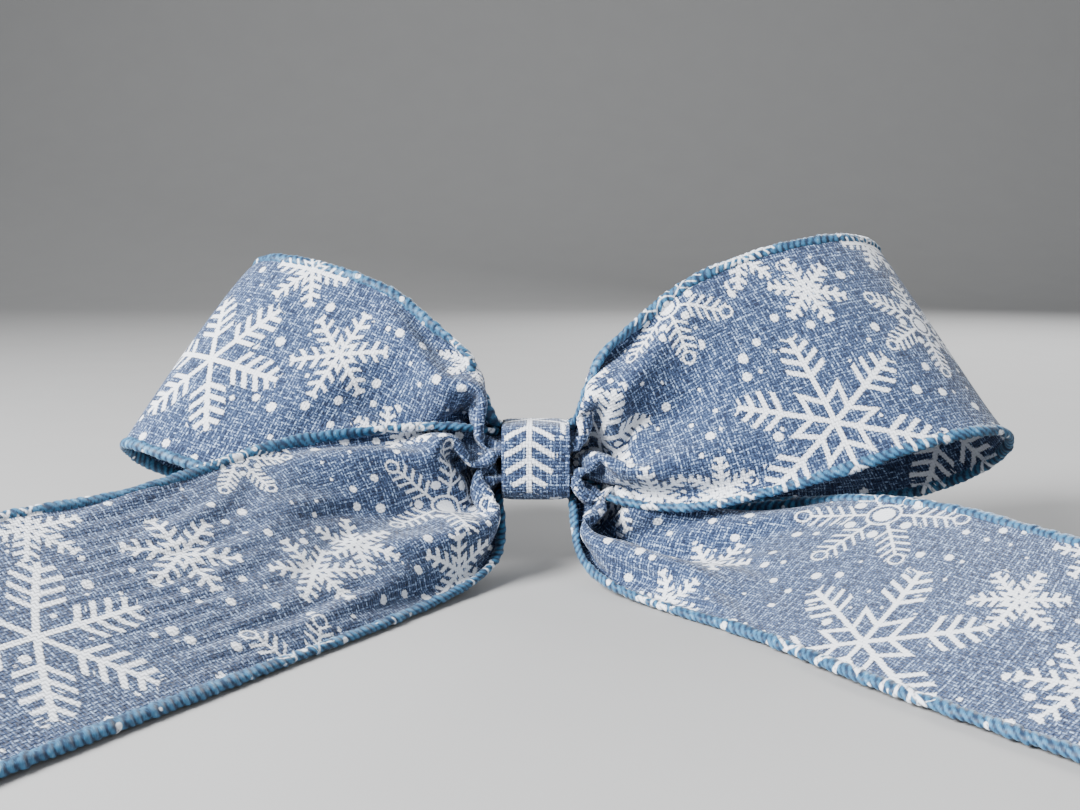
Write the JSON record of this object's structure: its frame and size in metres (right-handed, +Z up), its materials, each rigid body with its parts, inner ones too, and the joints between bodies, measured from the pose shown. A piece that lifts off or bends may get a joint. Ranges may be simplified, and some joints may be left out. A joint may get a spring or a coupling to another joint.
{
  "type": "gift bow",
  "caption": "Pre-made gift bow of blue linen-look wired ribbon with white snowflakes: two loops, two tails, a folded centre band and a twist tie behind.",
  "frame": {"origin": "on the surface the bow stands on, under the middle of its bounding box", "axes": "+Z up, +X to the bow's right as seen from the front, +Y from the front towards the back, where the twist tie is"},
  "size_m": [0.186, 0.14, 0.0521],
  "materials": {
    "printed_linen": "coarse linen-look weave, denim blue with pale specks and a matte white snowflake print",
    "edge_thread": "close overlocked blue polyester thread",
    "edge_wire": "thin soft wire",
    "hot_glue": "cloudy set glue",
    "tie_plastic": "thin matte plastic",
    "tie_wire": "bare cut ends"
  },
  "bodies": {
    "knot": {"knot_pinch": "printed_linen", "centre_band": "printed_linen", "glue_dab": "hot_glue", "tie_ring": "tie_plastic", "tie_stem": "tie_plastic"},
    "loop_right": {"right_loop_cloth": "printed_linen", "right_loop_lower_binding": "edge_thread", "right_loop_lower_wire": "edge_wire", "right_loop_upper_binding": "edge_thread", "right_loop_upper_wire": "edge_wire"},
    "loop_left": {"left_loop_cloth": "printed_linen", "left_loop_lower_binding": "edge_thread", "left_loop_lower_wire": "edge_wire", "left_loop_upper_binding": "edge_thread", "left_loop_upper_wire": "edge_wire"},
    "tail_right": {"right_tail_cloth": "printed_linen", "right_tail_lower_binding": "edge_thread", "right_tail_lower_wire": "edge_wire", "right_tail_upper_binding": "edge_thread", "right_tail_upper_wire": "edge_wire"},
    "tail_left": {"left_tail_cloth": "printed_linen", "left_tail_lower_binding": "edge_thread", "left_tail_lower_wire": "edge_wire", "left_tail_upper_binding": "edge_thread", "left_tail_upper_wire": "edge_wire"},
    "tie_leg_left": {"tie_left_leg": "tie_plastic", "tie_left_wire": "tie_wire"},
    "tie_leg_right": {"tie_right_leg": "tie_plastic", "tie_right_wire": "tie_wire"}
  },
  "joints": [
    {"name": "right_loop_lift", "type": "hinge", "parent": "knot", "child": "loop_right", "pos_m": [-0.00178, 0.03444, 0.0164], "axis": [0, -1, 0], "range_deg": [0, 12]},
    {"name": "left_loop_lift", "type": "hinge", "parent": "knot", "child": "loop_left", "pos_m": [-0.00178, 0.03444, 0.0164], "axis": [0, 1, 0], "range_deg": [0, 12]},
    {"name": "right_tail_swing", "type": "hinge", "parent": "knot", "child": "tail_right", "pos_m": [-0.00178, 0.03444, 0.0164], "axis": [0, 0, 1], "range_deg": [-8, 8]},
    {"name": "left_tail_swing", "type": "hinge", "parent": "knot", "child": "tail_left", "pos_m": [-0.00178, 0.03444, 0.0164], "axis": [0, 0, 1], "range_deg": [-8, 10]},
    {"name": "left_leg_bend", "type": "hinge", "parent": "knot", "child": "tie_leg_left", "pos_m": [-0.00258, 0.04264, 0.0164], "axis": [0, 0, 1], "range_deg": [-50, 20]},
    {"name": "right_leg_bend", "type": "hinge", "parent": "knot", "child": "tie_leg_right", "pos_m": [-0.00098, 0.04264, 0.0164], "axis": [0, 0, 1], "range_deg": [-20, 50]}
  ]
}
